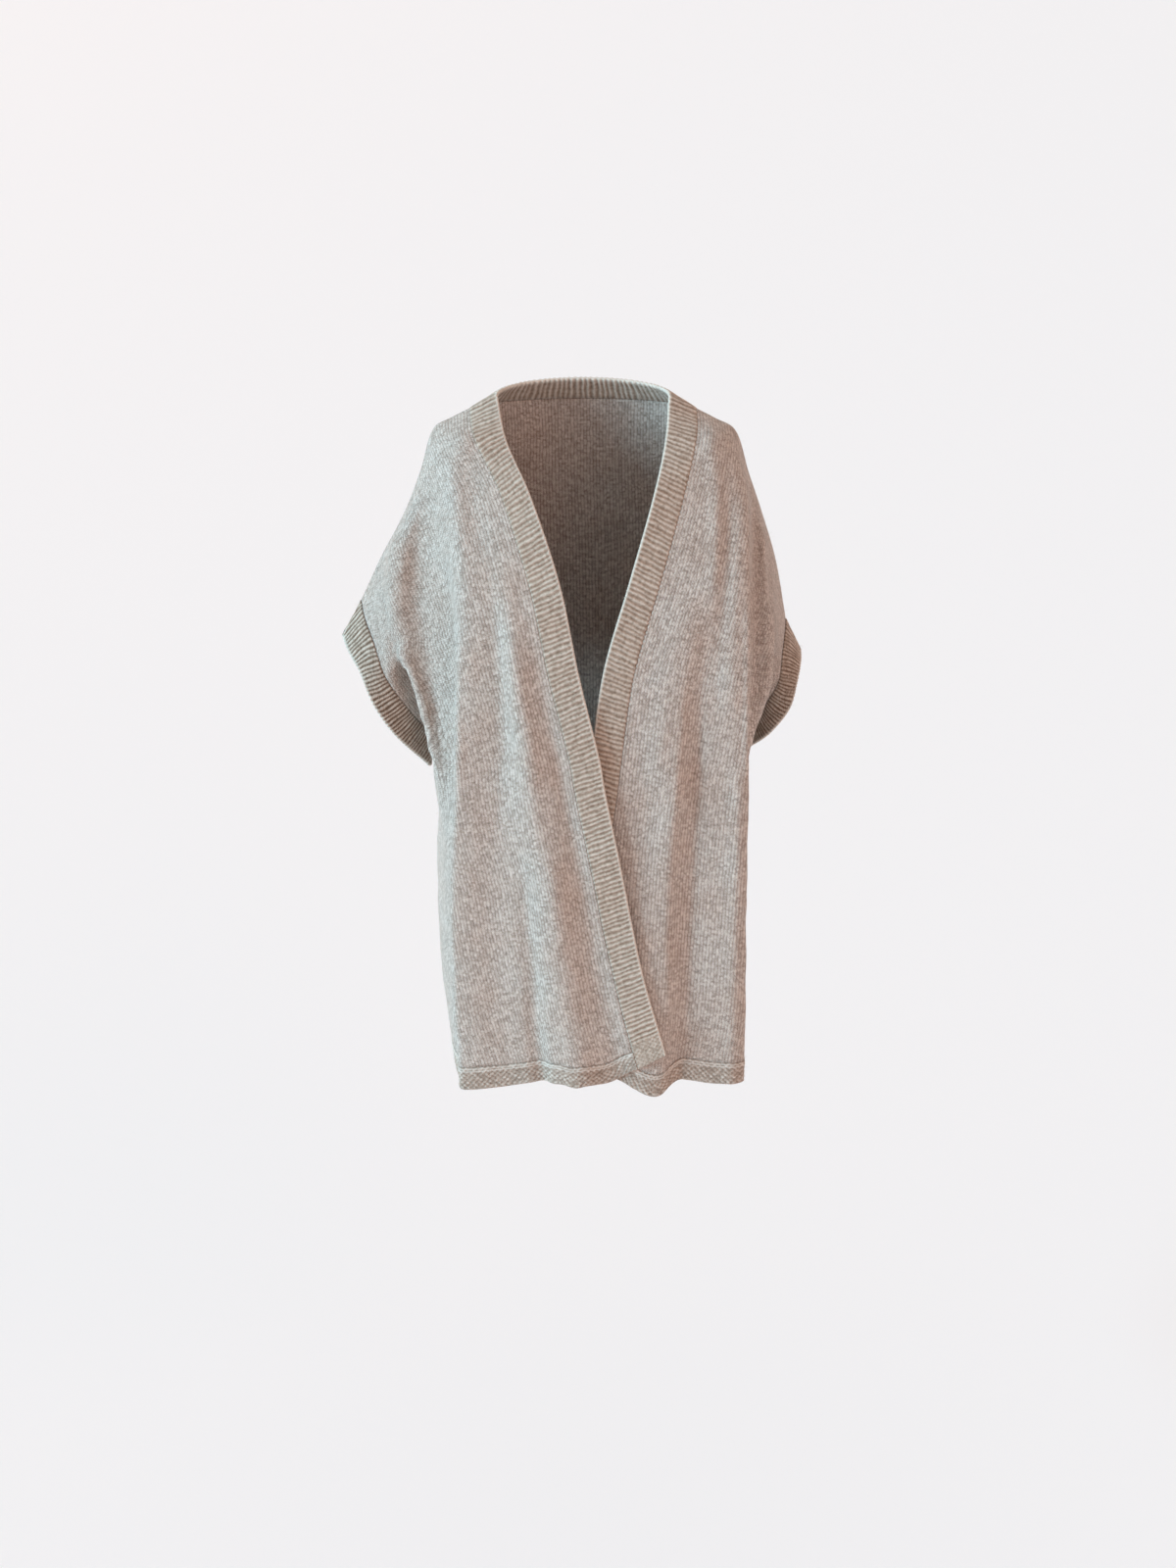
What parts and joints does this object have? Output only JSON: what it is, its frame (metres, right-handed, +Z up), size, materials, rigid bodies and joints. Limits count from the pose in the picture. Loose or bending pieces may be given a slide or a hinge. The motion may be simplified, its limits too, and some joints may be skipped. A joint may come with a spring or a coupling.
{
  "type": "knitted poncho sweater",
  "caption": "Hollow worn wrap-front poncho sweater in brushed knit, with short wide sleeves, ribbed bands round the front opening and neck, ribbed cuffs and a low front overlap.",
  "frame": {"origin": "between the wearer's shoulders, at the level where the cloth leaves the neck", "axes": "+Z up, -Y to the wearer's front, +X to the wearer's left"},
  "size_m": [0.5342, 0.2774, 0.8148],
  "materials": {
    "panel_knit": "brushed heather stocking stitch in oatmeal wool",
    "rib_knit": "brushed wool rib, cream ribs with darker furrows",
    "hem_knit": "brushed wool in a speckled moss stitch"
  },
  "bodies": {
    "root": {"front_right": "panel_knit", "front_left": "panel_knit", "back": "panel_knit", "band_right": "rib_knit", "band_left": "rib_knit", "band_back_neck": "rib_knit", "cuff_right": "rib_knit", "cuff_left": "rib_knit", "hem_right": "hem_knit", "hem_left": "hem_knit", "hem_back": "hem_knit"}
  },
  "joints": []
}
